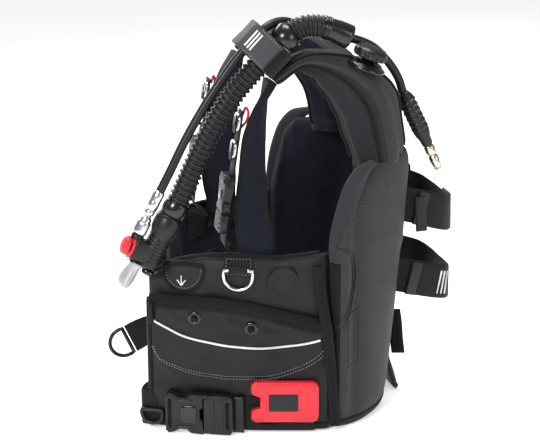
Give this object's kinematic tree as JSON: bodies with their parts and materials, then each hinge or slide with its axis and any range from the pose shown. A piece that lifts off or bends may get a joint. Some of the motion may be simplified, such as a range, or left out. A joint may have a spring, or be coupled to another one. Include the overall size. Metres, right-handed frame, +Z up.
{
  "type": "buoyancy compensator vest",
  "caption": "Jacket-style diving buoyancy compensator with backpack plate, tank bands, zipped side pockets, waist belt and an oral inflator on a corrugated hose over the left shoulder.",
  "frame": {"origin": "centre of the bounding box at the surface the vest stands on", "axes": "+Z up, -Y towards the open front of the vest, +X towards the wearer's left"},
  "size_m": [0.3942, 0.4944, 0.5643],
  "materials": {
    "nylon": "coated nylon, low sheen",
    "ballistic": "coarse ballistic nylon weave",
    "lining": "soft navy-black lining and mesh",
    "webbing": "ribbed nylon webbing",
    "plastic": "moulded, fine grained",
    "rubber": "smooth rubber",
    "red": "bright red",
    "grey": "mid grey woven",
    "pale": "pale silicone-like",
    "steel": "polished stainless"
  },
  "bodies": {
    "vest": {"left_front_lobe": "nylon", "left_cargo_pocket": "nylon", "left_side_panel": "ballistic", "left_shoulder_lobe": "ballistic", "left_shoulder_strap": "lining", "left_anchor_strap": "webbing", "left_chain_webbing": "webbing", "left_upper_link": "steel", "left_lower_link": "steel", "left_bungee": "red", "left_shoulder_buckle_socket": "plastic", "front_grommet": "plastic", "rear_grommet": "plastic", "left_waist_belt": "webbing", "waist_buckle_socket": "plastic", "right_front_lobe": "nylon", "right_cargo_pocket": "nylon", "right_side_panel": "ballistic", "right_shoulder_lobe": "ballistic", "right_shoulder_strap": "lining", "right_anchor_strap": "webbing", "right_chain_webbing": "webbing", "right_upper_link": "steel", "right_lower_link": "steel", "right_bungee": "red", "right_shoulder_buckle_socket": "plastic", "right_waist_belt": "webbing", "backpack_plate": "plastic", "back_pad": "lining", "back_skirt": "lining", "collar_yoke": "lining", "corrugated_hose": "rubber", "hose_sleeve": "grey", "shoulder_elbow": "rubber", "valve_flange": "plastic", "valve_cap": "plastic", "inflator_body": "plastic", "mouthpiece": "pale", "inlet_nipple": "steel", "lp_hose": "rubber", "hose_boot": "rubber", "first_stage_fitting": "steel", "upper_tank_band": "webbing", "lower_tank_band": "webbing", "upper_band_buckle": "plastic", "lower_band_buckle": "plastic"},
    "inflate_button": {"inflate_button": "red"},
    "deflate_button": {"deflate_button": "plastic"},
    "disconnect_collar": {"disconnect_collar": "steel"},
    "left_chest_ring": {"left_chest_ring": "steel"},
    "right_chest_ring": {"right_chest_ring": "steel"},
    "left_belt_ring": {"left_belt_ring": "plastic"},
    "right_belt_ring": {"right_belt_ring": "plastic"},
    "waist_buckle_plug": {"waist_buckle_plug": "plastic"},
    "left_shoulder_buckle_plug": {"left_shoulder_buckle_plug": "plastic"},
    "right_shoulder_buckle_plug": {"right_shoulder_buckle_plug": "plastic"},
    "left_weight_handle": {"left_weight_handle": "red"},
    "right_weight_handle": {"right_weight_handle": "red"},
    "upper_cam_lever": {"upper_cam_lever": "plastic"},
    "lower_cam_lever": {"lower_cam_lever": "plastic"}
  },
  "joints": [
    {"name": "inflate_press", "type": "slide", "parent": "vest", "child": "inflate_button", "axis": [0, 0.8829, -0.4695], "range_m": [0, 0.003], "stiffness_N_per_m": 700},
    {"name": "deflate_press", "type": "slide", "parent": "vest", "child": "deflate_button", "axis": [0, 0.4695, 0.8829], "range_m": [0, 0.003], "stiffness_N_per_m": 700},
    {"name": "disconnect_slide", "type": "slide", "parent": "vest", "child": "disconnect_collar", "axis": [0, 0.4695, 0.8829], "range_m": [0, 0.004], "stiffness_N_per_m": 600},
    {"name": "left_chest_ring_swing", "type": "hinge", "parent": "vest", "child": "left_chest_ring", "pos_m": [0.14676, -0.0913, 0.23], "axis": [-0.324, -0.946, 0], "range_deg": [0, 110]},
    {"name": "right_chest_ring_swing", "type": "hinge", "parent": "vest", "child": "right_chest_ring", "pos_m": [-0.14761, -0.08482, 0.23], "axis": [-0.4103, 0.912, 0], "range_deg": [0, 110]},
    {"name": "left_belt_ring_swing", "type": "hinge", "parent": "vest", "child": "left_belt_ring", "pos_m": [0.11071, -0.20591, 0.027], "axis": [-0.4619, -0.8869, 0], "range_deg": [0, 110]},
    {"name": "right_belt_ring_swing", "type": "hinge", "parent": "vest", "child": "right_belt_ring", "pos_m": [-0.05737, -0.21109, 0.0673], "axis": [0, -0.41, 0.9121], "range_deg": [0, 60]},
    {"name": "waist_buckle_release", "type": "slide", "parent": "vest", "child": "waist_buckle_plug", "axis": [0.4003, 0.9164, 0], "range_m": [0, 0.018]},
    {"name": "left_shoulder_buckle_release", "type": "slide", "parent": "vest", "child": "left_shoulder_buckle_plug", "axis": [0, -0.1544, -0.988], "range_m": [0, 0.012]},
    {"name": "right_shoulder_buckle_release", "type": "slide", "parent": "vest", "child": "right_shoulder_buckle_plug", "axis": [0, -0.1544, -0.988], "range_m": [0, 0.012]},
    {"name": "left_weight_handle_pull", "type": "slide", "parent": "vest", "child": "left_weight_handle", "axis": [0.9668, -0.2554, 0], "range_m": [0, 0.05]},
    {"name": "right_weight_handle_pull", "type": "slide", "parent": "vest", "child": "right_weight_handle", "axis": [-0.9638, -0.2668, 0], "range_m": [0, 0.05]},
    {"name": "upper_cam_open", "type": "hinge", "parent": "vest", "child": "upper_cam_lever", "pos_m": [-0.0826, 0.1792, 0.273], "axis": [0, 0, 1], "range_deg": [0, 100]},
    {"name": "lower_cam_open", "type": "hinge", "parent": "vest", "child": "lower_cam_lever", "pos_m": [-0.0826, 0.16787, 0.17], "axis": [0, 0, 1], "range_deg": [0, 100]}
  ]
}
